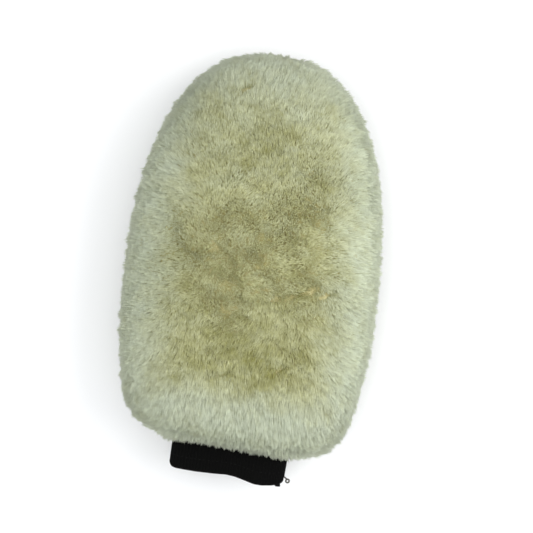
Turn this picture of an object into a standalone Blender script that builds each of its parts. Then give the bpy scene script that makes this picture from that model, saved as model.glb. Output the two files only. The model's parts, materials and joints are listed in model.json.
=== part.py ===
"""Wool wash mitt with a knitted elastic cuff.

The mitt lies on its back wool. +X is across it, +Y runs to its round tip, +Z is up, and the
origin is under the middle of its bounding box. It is built from the hand pocket outwards:
a sewn lining, two hides, the wool that grows on them, and a folded knit cuff that hinges at
the mouth seam. Every layer is a loft of superellipse sections, grown or shrunk by a clearance.
"""
import math

import bmesh
import bpy
from mathutils import Matrix

MM = 0.001

# Driving dimensions
LENGTH = 284.7 * MM            # tip of the wool to the end of the cuff's side seam
WOOL_WIDTH = 170.6 * MM
CUFF_SHOWING = 19.2 * MM       # cuff beyond the wool, at the middle
PILE_SIDE = 24.0 * MM          # wool standing out past the hide's edge
SEAM_Z = 34.0 * MM             # height of the seam plane over the surface the mitt lies on
WOOL_TOP = 38.0 * MM           # wool over the seam plane
WOOL_BELOW = 38.5 * MM         # wool under it before the surface flattens it
HIDE_RISE = 12.6 * MM          # outside of the hide over the seam plane, along the hand
MOUTH_RISE = 7.6 * MM          # the same at the mouth
HIDE_THICK = 1.8 * MM
LINING_THICK = 1.0 * MM
CUFF_WIDTH = 77.0 * MM
CUFF_RISE = 7.0 * MM
KNIT_THICK = 1.0 * MM
ELASTIC_THICK = 0.7 * MM
ELASTIC_WIDTH = 20.0 * MM
FOLD_UP = 30.0                 # degrees the cuff swings up and down before wool is crushed
FOLD_DOWN = 20.0
SKEW = 0.035                   # how far the mouth end lies askew, metres per metre across
NUB_DROP = 2.3 * MM            # the side seam's end hangs this far below the middle of the hem
HINGE_DROP = 1.5 * MM          # the cuff bends this far below the mouth's edge
ROOT_DROP = 5.9 * MM           # and its stiff part starts this far below the bend
HEM_RISE = 1.3 * MM            # the hem's middle is drawn up by this much
TAIL_OUT = 2.4 * MM            # the thread's loose end from the cuff's edge
TAIL_UP = 6.0 * MM             # and from its hem
LIP = 3.0 * MM                 # the wool's lip beyond its last full section
MOUTH_EASE = 1.5 * MM          # mouth wider than the cuff, each side
HEM_FOLD = 1.4 * MM            # length over which the knit turns at the hem
HEM_ROOM = 2.2 * MM            # from the hem to the inside of the fold
ELASTIC_UP = 3.0 * MM          # from the hem to the elastic
HEM_THREAD_UP = 7.0 * MM       # from the hem to its stitching

# Clearances
GAP = 0.3 * MM                 # between touching pieces
STITCH_ROOM = 1.8 * MM         # left beside a seam for its thread
SLOT_SIDE = 4.8 * MM           # between the cuff's edge and the slot it swings in
SLOT_TOP = 6 * GAP             # between the cuff's face and the slot
SLOT_SPARE = 1.04              # the slot is this many times as high as the swing needs

# Threads
THREAD_R = 0.25 * MM
TAIL_R = 0.36 * MM
SEAM_START = 3.0 * MM          # edge seams start this far up from the mouth
HIDE_PITCH = 4.0 * MM          # stitch length
HIDE_REACH = 0.6 * MM          # how far the stitches go to each side of the seam
LINING_PITCH = 4.6 * MM
LINING_REACH = 0.4 * MM
MOUTH_STITCHES = 60
MOUTH_REACH = 0.7 * MM
MOUTH_THREAD_DROP = 1.2 * MM   # the mouth's thread lies this far inside the hide's face
HEM_STITCHES = 72
HEM_REACH = 0.5 * MM
SIDE_PITCH = 1.3 * MM
SIDE_REACH = 1.1 * MM
SIDE_SPARE = 1.0 * MM          # side seam's distance from the cuff's root
SIDE_END = 3.0 * MM            # and what it leaves free at both ends together
BARTACK = (3.2 * MM, 2.0 * MM, 2.6 * MM)
BARTACK_ROUND = 0.5 * MM
CURL_R = 1.5 * MM
CURL_ACROSS = 2.6 * MM         # curl's centre from the tail's root
CURL_DOWN = 4.0 * MM
CURL_START = 135               # degrees
CURL_SWEEP = 300
CURL_LIFT = 0.2 * MM
CURL_CLIMB = 0.9 * MM          # so that its turns pass clear of each other
STALK = 0.6 * MM
CURL_STEPS = 12
TACK_STITCHES = 7
TACK_PITCH = 1.6 * MM
TACK_IN = 0.55 * MM
TACK_BOW = 0.12 * MM
TACK_UP = 1.8 * MM
TACK_REACH = 0.2 * MM

# Shape of the outline: how full each end is
WIDEST_Y = -15.3 * MM
TIP_FULLNESS = 2.4
BASE_FULLNESS = 4.2
HIDE_SECTION = 2.2             # 2 is an ellipse, more is squarer
WOOL_SECTION = 2.8
CUFF_SECTION = 2.6
SLOT_SECTION = 8.0

# Worked out from the above
WOOL_TIP = LENGTH / 2
WOOL_BASE = -LENGTH / 2 + CUFF_SHOWING + NUB_DROP
HIDE_HALF = WOOL_WIDTH / 2 - PILE_SIDE
HIDE_TIP_REACH = WOOL_TIP - PILE_SIDE - WIDEST_Y
HIDE_BASE_REACH = WIDEST_Y - WOOL_BASE - PILE_SIDE
MOUTH_HALF = CUFF_WIDTH / 2 + MOUTH_EASE
MOUTH_Y = WIDEST_Y - HIDE_BASE_REACH * (1 - (MOUTH_HALF / HIDE_HALF) ** BASE_FULLNESS) ** (
    1 / BASE_FULLNESS)
SLOT_HALF = CUFF_WIDTH / 2 + SLOT_SIDE
HINGE_Y = MOUTH_Y - HINGE_DROP
CUFF_ROOT = HINGE_Y - ROOT_DROP
CUFF_HEM = WOOL_BASE - CUFF_SHOWING + HEM_RISE
CUFF_WALL = 2 * KNIT_THICK + ELASTIC_THICK + 2 * GAP
TAIL_X = CUFF_WIDTH / 2 + TAIL_OUT
TAIL_Y = CUFF_HEM + TAIL_UP
NECK_LENGTH = 46.0 * MM        # over which the pocket comes down to the mouth
CROWN = 62.0 * MM              # over which the pocket closes at the tip
WOOL_CROWN = 66.0 * MM
WOOL_BASE_ROUND = 36.0 * MM

ROWS = 18                      # sections from the mouth to the tip
COLUMNS = 14                   # facets over half a section
RING = 36                      # facets round the cuff
SLOT_ROWS = 4
EDGE_STEPS = 400               # fine steps along a seam, from which stitches are spaced

COLOURS = {
    "wool": ((0.60, 0.60, 0.44), 0.95),
    "hide": ((0.62, 0.53, 0.40), 0.80),
    "lining": ((0.50, 0.50, 0.46), 0.85),
    "thread_white": ((0.70, 0.69, 0.62), 0.60),
    "thread_black": ((0.02, 0.02, 0.02), 0.60),
    "thread_grey": ((0.17, 0.18, 0.15), 0.60),
    "knit": ((0.013, 0.013, 0.013), 0.90),
    "elastic": ((0.10, 0.10, 0.10), 0.70),
}


def superellipse(t, fullness):
    """Height at t of a superellipse of half-axes 1."""
    return max(0.0, 1.0 - min(1.0, abs(t)) ** fullness) ** (1.0 / fullness)


def smooth(t):
    """0 below 0, 1 above 1, and an even S between."""
    t = min(1.0, max(0.0, t))
    return t * t * (3 - 2 * t)


def askew(x, y, z):
    """The mouth end lies a little askew: it is sheared, the tip half is not."""
    share = smooth((WIDEST_Y - y) / (WIDEST_Y - MOUTH_Y))
    return (x, y - SKEW * x * share, z)


def outline(y, grow):
    """Half-width at y of the hide's outline, grown outwards."""
    if y > WIDEST_Y:
        return (HIDE_HALF + grow) * superellipse(
            (y - WIDEST_Y) / (HIDE_TIP_REACH + grow), TIP_FULLNESS)
    return (HIDE_HALF + grow) * superellipse(
        (y - WIDEST_Y) / (HIDE_BASE_REACH + grow), BASE_FULLNESS)


def layer_half(y, side_grow):
    """Half-width at y of a layer beside the hide: it stops at the mouth, so it has no base."""
    if y > WIDEST_Y:
        return outline(y, side_grow)
    return outline(y, 0) + side_grow


def pocket_rise(y, grow, side_grow):
    """Height over the seam plane at y of the hide's surface, grown outwards."""
    tip = WIDEST_Y + HIDE_TIP_REACH + side_grow
    neck = smooth((MOUTH_Y + NECK_LENGTH - y) / NECK_LENGTH)
    rise = HIDE_RISE + grow - (HIDE_RISE - MOUTH_RISE) * neck
    if y > tip - CROWN:
        rise *= superellipse((y - tip + CROWN) / CROWN, TIP_FULLNESS)
    return rise


def half_section(width, rise, y, fullness, up):
    """Points over half a section, from +X round to -X, on the upper or the lower side."""
    points = []
    for column in range(COLUMNS + 1):
        turn = math.pi * column / COLUMNS
        across = math.cos(turn)
        x = width * math.copysign(abs(across) ** (2 / fullness), across)
        z = SEAM_Z + up * (GAP / 2 + rise * abs(math.sin(turn)) ** (2 / fullness))
        points.append((x, y, max(z, 0.0)))
    return points


def bag_rows(side_grow, grow, up):
    """Sections of a pocket layer from its tip to the mouth."""
    tip = WIDEST_Y + HIDE_TIP_REACH + side_grow
    rows = []
    for row in range(ROWS + 1):
        y = MOUTH_Y + (tip - MOUTH_Y) * (0.5 + 0.5 * math.cos(math.pi * row / ROWS))
        rise = pocket_rise(y, grow, side_grow)
        rows.append(half_section(layer_half(y, side_grow), rise, y, HIDE_SECTION, up))
    return rows


def mesh_object(name, points, faces, colour):
    """A named solid from points and faces, with its doubles merged and its faces outward."""
    mesh = bpy.data.meshes.new(name)
    mesh.from_pydata([askew(*point) for point in points], [], faces)
    shape = bmesh.new()
    shape.from_mesh(mesh)
    bmesh.ops.remove_doubles(shape, verts=shape.verts, dist=0.002 * MM)
    bmesh.ops.recalc_face_normals(shape, faces=shape.faces)
    shape.to_mesh(mesh)
    shape.free()
    mesh.shade_smooth()
    mesh.set_sharp_from_angle(angle=math.radians(40))
    node = bpy.data.objects.new(name, mesh)
    bpy.context.collection.objects.link(node)
    finish(node, colour)
    return node


def finish(node, colour):
    """Give the node its own material."""
    rgb, roughness = COLOURS[colour]
    material = bpy.data.materials.new(node.name)
    material.use_nodes = True
    shader = material.node_tree.nodes["Principled BSDF"]
    shader.inputs["Base Color"].default_value = (*rgb, 1.0)
    shader.inputs["Roughness"].default_value = roughness
    shader.inputs["Metallic"].default_value = 0.0
    material.diffuse_color = (*rgb, 1.0)
    node.data.materials.append(material)


def half_shell(name, rows, colour):
    """A layer of half the bag: its rows run from the inner tip to the outer tip.

    Row k of the inside faces row -1-k of the outside, and the two are joined along the seam.
    """
    width = len(rows[0])
    points = [point for row in rows for point in row]
    faces = []
    last = len(rows) - 1
    for row in range(last):
        for column in range(width - 1):
            corner = row * width + column
            faces.append((corner, corner + 1, corner + width + 1, corner + width))
    for edge in (0, width - 1):
        for row in range(last // 2):
            near = (row * width + edge, (row + 1) * width + edge)
            far = ((last - row) * width + edge, (last - row - 1) * width + edge)
            face = [near[0], near[1], far[1], far[0]]
            if near[1] == far[1]:
                face = [near[0], near[1], far[0]]
            faces.append(tuple(face))
    return mesh_object(name, points, faces, colour)


def hide(name, up):
    """A pelt's leather: one half of the bag."""
    inner = bag_rows(-HIDE_THICK, -HIDE_THICK, up)
    outer = bag_rows(0, 0, up)
    return half_shell(name, inner + outer[::-1], "hide")


def lining(name, up):
    """The lining inside a hide, with room at its edge for the seam thread."""
    side = HIDE_THICK + STITCH_ROOM
    rise = HIDE_THICK + GAP
    inner = bag_rows(-side - LINING_THICK, -rise - LINING_THICK, up)
    outer = bag_rows(-side, -rise, up)
    return half_shell(name, inner + outer[::-1], "lining")


def cuff_slot_rows(up, swing):
    """The inside of the wool below the mouth, opening so that the cuff can swing."""
    angle = math.radians(swing)
    rows = []
    end = WOOL_BASE + LIP
    for step in range(1, SLOT_ROWS + 1):
        y = MOUTH_Y + (end - MOUTH_Y) * step / SLOT_ROWS
        reach = max(0.0, HINGE_Y - y)
        rise = (CUFF_RISE + SLOT_TOP) / math.cos(angle) + reach * math.tan(angle)
        rows.append(half_section(SLOT_HALF, SLOT_SPARE * rise, y, SLOT_SECTION, up))
    return rows


def pile(name, up, rise, swing):
    """The wool of one pelt: over the hide, past its edge, and round the cuff."""
    inner = bag_rows(STITCH_ROOM, GAP, up) + cuff_slot_rows(up, swing)
    end = WOOL_BASE + LIP
    outer = []
    steps = len(inner) - 1
    for row in range(steps + 1):
        y = end + (WOOL_TIP - end) * (0.5 + 0.5 * math.cos(math.pi * row / steps))
        height = rise
        if y > WOOL_TIP - WOOL_CROWN:
            height *= superellipse((y - WOOL_TIP + WOOL_CROWN) / WOOL_CROWN, TIP_FULLNESS)
        if y < WOOL_BASE + WOOL_BASE_ROUND:
            height *= superellipse(
                (WOOL_BASE + WOOL_BASE_ROUND - y) / WOOL_BASE_ROUND, BASE_FULLNESS - 1)
        outer.append(half_section(outline(y, PILE_SIDE), height, y, WOOL_SECTION, up))
    lip = []
    for slot, wool in zip(inner[-1], outer[-1]):
        middle = [(a + b) / 2 for a, b in zip(slot, wool)]
        lip.append((middle[0], WOOL_BASE, middle[2]))
    return half_shell(name, inner + [lip] + outer[::-1], "wool")


def ring(width, rise, y, grow, count=RING):
    """Points round a flattened section, the cuff's way round."""
    points = []
    for column in range(count):
        turn = 2 * math.pi * column / count
        across = math.cos(turn)
        along = math.sin(turn)
        x = (width / 2 + grow) * math.copysign(abs(across) ** (2 / CUFF_SECTION), across)
        z = (rise + grow) * math.copysign(abs(along) ** (2 / CUFF_SECTION), along)
        points.append((x, y, SEAM_Z + z))
    return points


def swept_ring(name, profile, colour):
    """A closed band: each (grow, y) of the profile is a ring, and the profile closes."""
    rings = [ring(CUFF_WIDTH, CUFF_RISE, y, grow) for grow, y in profile]
    points = [point for band in rings for point in band]
    faces = []
    for row in range(len(rings)):
        after = (row + 1) % len(rings)
        for column in range(RING):
            side = (column + 1) % RING
            faces.append((row * RING + column, row * RING + side,
                          after * RING + side, after * RING + column))
    return mesh_object(name, points, faces, colour)


def cuff_knit():
    """One tube of knit folded double at the hem, its two raw edges at the mouth."""
    room = CUFF_HEM + HEM_ROOM
    corner = CUFF_HEM + HEM_FOLD / 4
    profile = [
        (0.0, CUFF_ROOT),
        (0.0, (CUFF_ROOT + CUFF_HEM) / 2),
        (0.0, CUFF_HEM + HEM_FOLD),
        (-0.18 * CUFF_WALL, corner),
        (-0.50 * CUFF_WALL, CUFF_HEM),
        (-0.82 * CUFF_WALL, corner),
        (-CUFF_WALL, CUFF_HEM + HEM_FOLD),
        (-CUFF_WALL, (CUFF_ROOT + CUFF_HEM) / 2),
        (-CUFF_WALL, CUFF_ROOT),
        (-CUFF_WALL + KNIT_THICK, CUFF_ROOT),
        (-CUFF_WALL + KNIT_THICK, room),
        (-KNIT_THICK, room),
        (-KNIT_THICK, CUFF_ROOT),
    ]
    return swept_ring("cuff_knit", profile, "knit")


def cuff_elastic():
    """The woven elastic band held in the fold of the knit."""
    near = CUFF_HEM + ELASTIC_UP
    far = near + ELASTIC_WIDTH
    outside = -KNIT_THICK - GAP
    inside = outside - ELASTIC_THICK
    profile = [(outside, far), (outside, near), (inside, near), (inside, far)]
    return swept_ring("cuff_elastic", profile, "elastic")


def thread(name, points, colour, radius=THREAD_R, closed=False):
    """A thread along points, as a thin tube."""
    curve = bpy.data.curves.new(name, "CURVE")
    curve.dimensions = "3D"
    curve.bevel_depth = radius
    curve.bevel_resolution = 0 if radius <= THREAD_R else 1
    curve.use_fill_caps = not closed
    spline = curve.splines.new("POLY")
    spline.points.add(len(points) - 1)
    for place, point in zip(spline.points, points):
        place.co = (*askew(*point), 1.0)
    spline.use_cyclic_u = closed
    node = bpy.data.objects.new(name, curve)
    bpy.context.collection.objects.link(node)
    finish(node, colour)
    return node


def edge_path(side_grow, start_y, pitch):
    """Places along the seam, an even distance apart, from one side of the mouth to the other."""
    tip = WIDEST_Y + HIDE_TIP_REACH + side_grow
    fine = []
    for step in range(EDGE_STEPS + 1):
        y = start_y + (tip - start_y) * math.sin(math.pi / 2 * step / EDGE_STEPS)
        fine.append((layer_half(y, side_grow), y))
    fine += [(-x, y) for x, y in fine[-2::-1]]
    places = [fine[0]]
    walked = 0.0
    for here, there in zip(fine, fine[1:]):
        walked += math.dist(here, there)
        if walked >= pitch:
            places.append(there)
            walked = 0.0
    return places


def seam_thread(name, side_grow, amplitude, pitch, colour):
    """A lockstitch thread laid to and fro over the edge where two layers meet."""
    points = []
    for count, (x, y) in enumerate(edge_path(side_grow, MOUTH_Y + SEAM_START, pitch)):
        points.append((x, y, SEAM_Z + amplitude * (1 if count % 2 else -1)))
    return thread(name, points, colour)


def ring_thread(name, grow, y, amplitude, count, width, rise, colour):
    """A zigzag thread round the mouth or the cuff."""
    points = []
    for number, (x, _, z) in enumerate(ring(width, rise, y, grow, count)):
        points.append((x, y + amplitude * (1 if number % 2 else -1), z))
    return thread(name, points, colour, closed=True)


def side_seam_thread():
    """The overlock down the cuff's right edge."""
    outside = CUFF_WIDTH / 2 + 2 * GAP + 3 * THREAD_R
    count = int((CUFF_ROOT - CUFF_HEM - SIDE_END) / SIDE_PITCH)
    points = []
    for number in range(count + 1):
        y = CUFF_ROOT - SIDE_SPARE - SIDE_PITCH * number
        points.append((outside, y, SEAM_Z + SIDE_REACH * (1 if number % 2 else -1)))
    return thread("cuff_side_seam_thread", points, "thread_black")


def bartack():
    """The dense nub of thread that ends the side seam at the hem."""
    width, depth, _ = BARTACK
    shape = bmesh.new()
    bmesh.ops.create_cube(shape, size=1.0)
    bmesh.ops.scale(shape, vec=BARTACK, verts=shape.verts)
    bmesh.ops.bevel(shape, geom=shape.edges, offset=BARTACK_ROUND, segments=2, affect="EDGES")
    mesh = bpy.data.meshes.new("cuff_bartack")
    shape.to_mesh(mesh)
    shape.free()
    mesh.shade_smooth()
    node = bpy.data.objects.new("cuff_bartack", mesh)
    node.location = (CUFF_WIDTH / 2 - width / 2, -LENGTH / 2 + depth / 2, SEAM_Z)
    bpy.context.collection.objects.link(node)
    finish(node, "thread_black")
    return node


def chain_tail():
    """The overlock's chained thread end: a short stalk and a small open curl."""
    curl_x = TAIL_X + CURL_ACROSS
    curl_y = TAIL_Y - CURL_DOWN
    points = [(TAIL_X, TAIL_Y, SEAM_Z), (TAIL_X + STALK, TAIL_Y - STALK, SEAM_Z)]
    for step in range(CURL_STEPS + 1):
        share = step / CURL_STEPS
        turn = math.radians(CURL_START - CURL_SWEEP * share)
        points.append((curl_x + CURL_R * math.cos(turn), curl_y + CURL_R * math.sin(turn),
                       SEAM_Z + CURL_LIFT + CURL_CLIMB * share))
    return thread("chain_tail", points, "thread_grey", radius=TAIL_R)


def hinge(name, place, pieces):
    """An empty on a joint's axis, with the pieces that turn about it."""
    empty = bpy.data.objects.new(name, None)
    empty.empty_display_size = 10 * MM
    empty.location = place
    bpy.context.collection.objects.link(empty)
    for piece in pieces:
        piece.parent = empty
        piece.matrix_parent_inverse = Matrix.Translation(place).inverted()
    return empty


def tip_tack():
    """The few stitches that hold the lining's tip in the hide's tip."""
    lining_tip = WIDEST_Y + HIDE_TIP_REACH - HIDE_THICK - STITCH_ROOM
    points = []
    for number in range(TACK_STITCHES):
        aside = number - TACK_STITCHES // 2
        y = lining_tip + STITCH_ROOM / 2 - TACK_IN - TACK_BOW * abs(aside)
        points.append((aside * TACK_PITCH, y, SEAM_Z + TACK_UP + TACK_REACH * (-1) ** number))
    return thread("lining_tip_tack", points, "thread_white")


def build():
    """Clear the scene and make every piece."""
    for item in list(bpy.data.objects):
        bpy.data.objects.remove(item, do_unlink=True)
    pile("front_pile", 1, WOOL_TOP, FOLD_UP)
    pile("back_pile", -1, WOOL_BELOW, FOLD_DOWN)
    hide("front_hide", 1)
    hide("back_hide", -1)
    lining("front_lining", 1)
    lining("back_lining", -1)
    seam_thread("hide_seam_thread", STITCH_ROOM / 2, HIDE_REACH, HIDE_PITCH, "thread_white")
    seam_thread("lining_seam_thread", -HIDE_THICK - STITCH_ROOM / 2, LINING_REACH, LINING_PITCH,
                "thread_white")
    tip_tack()
    ring_thread("mouth_seam_thread", 0.0, HINGE_Y, MOUTH_REACH, MOUTH_STITCHES, 2 * MOUTH_HALF,
                MOUTH_RISE - MOUTH_THREAD_DROP, "thread_black")
    hem_thread = ring_thread("cuff_hem_thread", GAP + THREAD_R, CUFF_HEM + HEM_THREAD_UP,
                             HEM_REACH, HEM_STITCHES, CUFF_WIDTH, CUFF_RISE, "thread_black")
    cuff = [cuff_knit(), cuff_elastic(), hem_thread, side_seam_thread(), bartack()]
    hinge("cuff_hinge", (0.0, HINGE_Y, SEAM_Z), cuff)
    hinge("tail_hinge", askew(TAIL_X, TAIL_Y, SEAM_Z), [chain_tail()])


build()
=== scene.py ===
"""Wool wash mitt with a knitted elastic cuff: its looks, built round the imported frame.

All lengths are in metres, in the frame's own axes: +X across, +Y to the round tip, +Z up. The wool
is drawn as real tapered strands, rooted on the hide and ending on one rounded outer surface.
"""
import json
import math

import bmesh
import bpy
import numpy as np
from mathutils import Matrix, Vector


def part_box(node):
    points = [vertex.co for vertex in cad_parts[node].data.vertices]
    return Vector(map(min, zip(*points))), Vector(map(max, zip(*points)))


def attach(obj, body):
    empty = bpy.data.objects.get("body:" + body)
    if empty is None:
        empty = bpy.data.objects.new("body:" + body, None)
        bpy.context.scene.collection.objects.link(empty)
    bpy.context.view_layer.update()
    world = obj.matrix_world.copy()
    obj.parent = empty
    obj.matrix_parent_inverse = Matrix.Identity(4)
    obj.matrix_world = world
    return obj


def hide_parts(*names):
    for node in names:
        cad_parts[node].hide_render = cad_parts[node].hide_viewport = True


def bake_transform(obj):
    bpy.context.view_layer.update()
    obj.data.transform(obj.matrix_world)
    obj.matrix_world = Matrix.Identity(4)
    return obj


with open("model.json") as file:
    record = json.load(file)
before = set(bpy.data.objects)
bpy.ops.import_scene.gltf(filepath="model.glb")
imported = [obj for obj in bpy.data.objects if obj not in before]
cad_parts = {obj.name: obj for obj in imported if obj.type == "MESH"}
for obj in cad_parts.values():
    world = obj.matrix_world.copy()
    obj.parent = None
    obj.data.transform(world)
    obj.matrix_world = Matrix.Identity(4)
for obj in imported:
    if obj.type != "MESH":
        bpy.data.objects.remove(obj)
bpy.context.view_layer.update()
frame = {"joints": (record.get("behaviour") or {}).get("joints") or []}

MM = 0.001

# Driving sizes, read from the frame
HINGE = next(joint for joint in frame["joints"] if joint["name"] == "cuff_fold")
SEAM_Z = HINGE["pos_m"][2]
HINGE_Y = HINGE["pos_m"][1]
_, WOOL_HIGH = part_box("front_pile")
_, HIDE_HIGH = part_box("front_hide")
_, CUFF_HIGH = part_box("cuff_knit")
WOOL_TIP = WOOL_HIGH.y
WOOL_HALF = WOOL_HIGH.x
WOOL_TOP = WOOL_HIGH.z - SEAM_Z
HIDE_HALF = HIDE_HIGH.x
HIDE_TIP = HIDE_HIGH.y
HIDE_RISE = HIDE_HIGH.z - SEAM_Z
CUFF_HALF = CUFF_HIGH.x
CUFF_RISE = CUFF_HIGH.z - SEAM_Z
PILE = WOOL_HALF - HIDE_HALF
MOUTH_Y = HINGE_Y + 1.5 * MM     # the cuff bends this far below the mouth's edge

# The mitt's outline and sections
SKEW = 0.035                    # the mouth end is sheared by this much across
DROOP = 1.8 * MM                # and its right half hangs lower still
WIDEST_Y = -15.3 * MM
WOOL_BASE = -120.85 * MM
WOOL_BELOW = 38.5 * MM
WAIST = 0.035                   # the wool draws in by this share at WAIST_Y
WAIST_Y = -78 * MM
WAIST_REACH = 26 * MM
MOUTH_HALF = CUFF_HALF + 1.5 * MM
MOUTH_RISE = 7.6 * MM
CUFF_HEM = WOOL_BASE - 17.9 * MM
TIP_FULLNESS = 2.4
BASE_FULLNESS = 4.2
HIDE_SECTION = 2.2
WOOL_SECTION = 2.8
CUFF_SECTION = 2.6
NECK = 46.0 * MM
POCKET_CROWN = 62.0 * MM
WOOL_CROWN = 66.0 * MM
WOOL_BASE_ROUND = 36.0 * MM
BODY_SHARE = 0.90               # how much of the wool's profile lies above its lip
LIP = 3.0 * MM                  # how far the wool's lip rounds over at the cuff
LOWEST = 0.4 * MM               # the wool lies this far over the floor
PRESSED = 4.0 * MM              # and is pressed flat below this height
PRESS_EASE = 3.6 * MM

# The fleece
DEPTH = 0.57                    # where along a strand the felted mass of the wool ends
NAP = 7.0 * MM                  # how far the middle's wool is brushed along the mitt
WANDER = 2.6 * MM               # how far that nap wanders
SPREAD = 4.0 * MM               # how far the middle's roots are drawn in
BEND_ALONG, BEND_OUT = 0.40, 0.94   # a strand's bend, as shares of its reach and of its rise
SOFTNESS = 0.80                 # how far a strand's shading normal leans to the fleece's own
LOCK = 3.4 * MM                 # from one lock of wool to the next
LOCK_LEAN = 1.9 * MM            # how far a lock leans its own way
STRAND_LEAN = 0.55 * MM         # and a strand its own
SHORTER = 0.6 * MM              # how much shorter a strand, and again a lock, can be
RIDGE = 0.45 * MM               # how far the streaks stand up
HILLOCK = 7.0 * MM              # from one hillock of the matted wool to the next
FRINGE_HALF = 49.5 * MM         # the wool this near the middle, and this near the seam plane, and this near the lip, lies on the cuff
FRINGE_RISE = 27.0 * MM         # and this near the lip, lies on the cuff and goes with it
FRINGE_DEEP = 14.0 * MM


# ---------------------------------------------------------------- shapes as formulas
def superellipse(t, fullness):
    """The height at t of a superellipse of half-axes 1: (1 - |t|^n)^(1/n)."""
    return np.maximum(0.0, 1.0 - np.minimum(1.0, np.abs(t)) ** fullness) ** (1.0 / fullness)


def smooth(t):
    """0 below 0, 1 above 1, and 3t^2 - 2t^3 between."""
    t = np.clip(t, 0.0, 1.0)
    return t * t * (3 - 2 * t)


def askew(points):
    """Shears the mouth end: y falls by SKEW times x, all of it at the mouth, none at the waist.

    Below the mouth the right half hangs lower still, by up to DROOP.
    """
    share = smooth((WIDEST_Y - points[..., 1]) / (WIDEST_Y - MOUTH_Y))
    sheared = points.copy()
    sheared[..., 1] -= SKEW * points[..., 0] * share
    below = smooth((MOUTH_Y - points[..., 1]) / (MOUTH_Y - WOOL_BASE))
    sheared[..., 1] -= DROOP * smooth(points[..., 0] / CUFF_HALF) * below
    return sheared


def half_width(y, half, tip, base):
    """Half-width at y of an outline: a superellipse to the tip, and a fuller one to the base."""
    up = superellipse((y - WIDEST_Y) / (tip - WIDEST_Y), TIP_FULLNESS)
    down = superellipse((y - WIDEST_Y) / (base - WIDEST_Y), BASE_FULLNESS)
    return half * np.where(y > WIDEST_Y, up, down)


def section(turn, width, rise, fullness):
    """x and z of a superellipse at the angle turn: r = (|cos|^n + |sin|^n)^(-1/n), then scaled."""
    across, along = np.cos(turn), np.sin(turn)
    reach = (np.abs(across) ** fullness + np.abs(along) ** fullness) ** (-1.0 / fullness)
    return width * reach * across, rise * reach * along


def wool_profile(share):
    """The wool's outer profile by share, from 0 at the tip to 1 at the cuff.

    Returns y, half-width, rise, depth and how far round the lip. Up to BODY_SHARE it runs down the
    mitt on a cosine spacing, drawn in by WAIST exp(-((y - WAIST_Y) / WAIST_REACH)^2), and after
    that a quarter ellipse rounds the lip down onto the cuff.
    """
    end = WOOL_BASE + LIP
    t = np.clip(share / BODY_SHARE, 0.0, 1.0)
    lip = np.clip((share - BODY_SHARE) / (1.0 - BODY_SHARE), 0.0, 1.0) * math.pi / 2
    y = end + (WOOL_TIP - end) * (0.5 + 0.5 * np.cos(math.pi * t))
    width = half_width(y, WOOL_HALF, WOOL_TIP, WOOL_BASE)
    width = width * (1 - WAIST * np.exp(-((y - WAIST_Y) / WAIST_REACH) ** 2))
    crown = superellipse((y - WOOL_TIP + WOOL_CROWN) / WOOL_CROWN, TIP_FULLNESS)
    fall = superellipse((WOOL_BASE + WOOL_BASE_ROUND - y) / WOOL_BASE_ROUND, BASE_FULLNESS - 1)
    rise = np.where(y > WOOL_TIP - WOOL_CROWN, crown, 1.0)
    rise = rise * np.where(y < WOOL_BASE + WOOL_BASE_ROUND, fall, 1.0)
    top = WOOL_TOP * rise
    below = WOOL_BELOW * rise
    ease = np.cos(lip)
    width = np.where(lip > 0, CUFF_HALF + (width - CUFF_HALF) * ease, width)
    top = np.where(lip > 0, CUFF_RISE + (top - CUFF_RISE) * ease, top)
    below = np.where(lip > 0, CUFF_RISE + (below - CUFF_RISE) * ease, below)
    return y - LIP * np.sin(lip), width, top, below, lip / (math.pi / 2)


def wool_surface(share, turn):
    """Points of the wool's outer surface: the profile's sections, pressed flat where it lies.

    Below PRESSED the height is LOWEST + (PRESSED - LOWEST) exp((z - PRESSED) / PRESS_EASE).
    """
    y, width, top, below, _ = wool_profile(share)
    rise = np.where(np.sin(turn) >= 0, top, below)
    x, z = section(turn, width, rise, WOOL_SECTION)
    z = SEAM_Z + z
    flat = LOWEST + (PRESSED - LOWEST) * np.exp((z - PRESSED) / PRESS_EASE)
    return np.stack([x, y, np.where(z < PRESSED, flat, z)], -1)


def wool_roots(points, share, turn):
    """Where the strands that end at points are rooted on the hide.

    Each root is drawn in towards the middle by PILE times the cube of how near the edge its tip is,
    so the wool lies outwards round the edge. Along the middle it is brushed towards the two ends by
    NAP, with a wandering drift.
    """
    _, width, _, _, lip = wool_profile(share)
    middle = (WOOL_TIP + WOOL_BASE) / 2
    along = (points[..., 1] - middle) / ((WOOL_TIP - WOOL_BASE) / 2)
    across = points[..., 0] / np.maximum(width, MM)
    pull = np.minimum(PILE, 0.75 * width) * (1 - lip)
    nap = drift(points, 34 * MM, 11) * WANDER
    inner = (1 - np.abs(across) ** 3) * (1 - np.abs(along) ** 3)
    x = points[..., 0] - pull * np.sign(across) * np.abs(across) ** 3
    x -= inner * (SPREAD * across + nap[..., 0])
    root_y = points[..., 1] - PILE * np.sign(along) * np.abs(along) ** 3
    root_y -= inner * (NAP * np.tanh(2 * along) + nap[..., 1])
    root_y = np.clip(root_y, MOUTH_Y + 0.5 * MM, HIDE_TIP - 0.5 * MM)
    half, rise = pocket_section(root_y)
    x = np.clip(x, -0.97 * half, 0.97 * half)
    z = rise * superellipse(x / np.maximum(half, 1e-6), HIDE_SECTION)
    edge = smooth((np.abs(np.sin(turn))) / 0.35)
    return np.stack([x, root_y, SEAM_Z + np.where(np.sin(turn) >= 0, 1, -1) * z * edge], -1)


def strand_bend(roots, tips, normal):
    """A strand's middle control point: part of its reach along the skin and most of its rise."""
    reach = tips - roots
    rise = normal * (reach * normal).sum(-1, keepdims=True)
    return roots + BEND_ALONG * (reach - rise) + BEND_OUT * rise


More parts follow.
